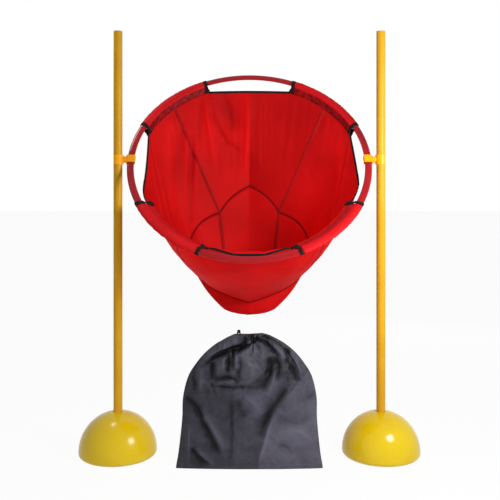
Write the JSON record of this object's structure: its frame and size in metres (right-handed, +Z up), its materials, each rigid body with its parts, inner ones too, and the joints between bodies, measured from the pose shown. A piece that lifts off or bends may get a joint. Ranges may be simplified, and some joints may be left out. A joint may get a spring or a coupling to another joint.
{
  "type": "pitching target net",
  "caption": "Cloth catching net on a tilting hoop, clipped between upright poles that stand in weighted domes, with a drawstring storage bag.",
  "frame": {"origin": "on the ground midway between the two poles", "axes": "+Z up along the poles, +X towards the right-hand pole as the thrower sees it, -Y towards the thrower"},
  "size_m": [0.9758, 0.437, 1.2108],
  "materials": {
    "dome_plastic": "glossy moulded plastic",
    "pole_plastic": "glossy extruded plastic",
    "clip_plastic": "satin moulded plastic",
    "hoop_plastic": "satin extruded plastic",
    "net_cloth": "woven polyester",
    "binding_tape": "woven tape",
    "bag_cloth": "thin woven nylon",
    "cord": "braided cord",
    "sand": "dry sand"
  },
  "bodies": {
    "bases": {"left_dome_shell": "dome_plastic", "left_base_plate": "dome_plastic", "left_pole_socket": "dome_plastic", "left_sand_ballast": "sand", "left_filler_plug": "dome_plastic", "right_dome_shell": "dome_plastic", "right_base_plate": "dome_plastic", "right_pole_socket": "dome_plastic", "right_sand_ballast": "sand", "right_filler_plug": "dome_plastic"},
    "left_pole": {"left_pole_tube": "pole_plastic", "left_pole_top_cap": "pole_plastic", "left_pole_foot_cap": "pole_plastic"},
    "right_pole": {"right_pole_tube": "pole_plastic", "right_pole_top_cap": "pole_plastic", "right_pole_foot_cap": "pole_plastic"},
    "clips": {"left_pole_clip": "clip_plastic", "right_pole_clip": "clip_plastic"},
    "hoop": {"hoop_tube": "hoop_plastic", "hoop_joiner": "hoop_plastic", "left_swivel_pin": "clip_plastic", "right_swivel_pin": "clip_plastic", "left_hoop_clip": "clip_plastic", "right_hoop_clip": "clip_plastic", "back_panel": "net_cloth", "right_panel": "net_cloth", "front_panel": "net_cloth", "left_panel": "net_cloth", "pouch_back": "net_cloth", "pouch_right": "net_cloth", "pouch_front": "net_cloth", "pouch_left": "net_cloth", "pouch_floor": "net_cloth", "sleeve_upper_right": "net_cloth", "sleeve_lower_right": "net_cloth", "sleeve_lower_left": "net_cloth", "sleeve_upper_left": "net_cloth", "back_edge_tape": "binding_tape", "right_edge_tape": "binding_tape", "front_edge_tape": "binding_tape", "left_edge_tape": "binding_tape", "sleeve_end_tapes": "binding_tape"},
    "bag": {"storage_bag": "bag_cloth", "drawcord": "cord"}
  },
  "joints": [
    {"name": "left_pole_lift", "type": "slide", "parent": "bases", "child": "left_pole", "axis": [0, 0, 1], "range_m": [0, 0.11]},
    {"name": "right_pole_lift", "type": "slide", "parent": "bases", "child": "right_pole", "axis": [0, 0, 1], "range_m": [0, 0.11]},
    {"name": "clips_height", "type": "slide", "parent": "left_pole", "child": "clips", "axis": [0, 0, 1], "range_m": [-0.1, 0.33]},
    {"name": "hoop_tilt", "type": "hinge", "parent": "clips", "child": "hoop", "pos_m": [0, 0, 0.843], "axis": [1, 0, 0], "range_deg": [-51.5, 38.5]},
    {"name": "bag_slides_on_ground", "type": "slide", "parent": "bases", "child": "bag", "axis": [0, -1, 0], "range_m": [0, 0.4]}
  ],
  "couplings": [
    {"joint": "right_pole_lift", "follows": "left_pole_lift", "ratio": 1}
  ]
}
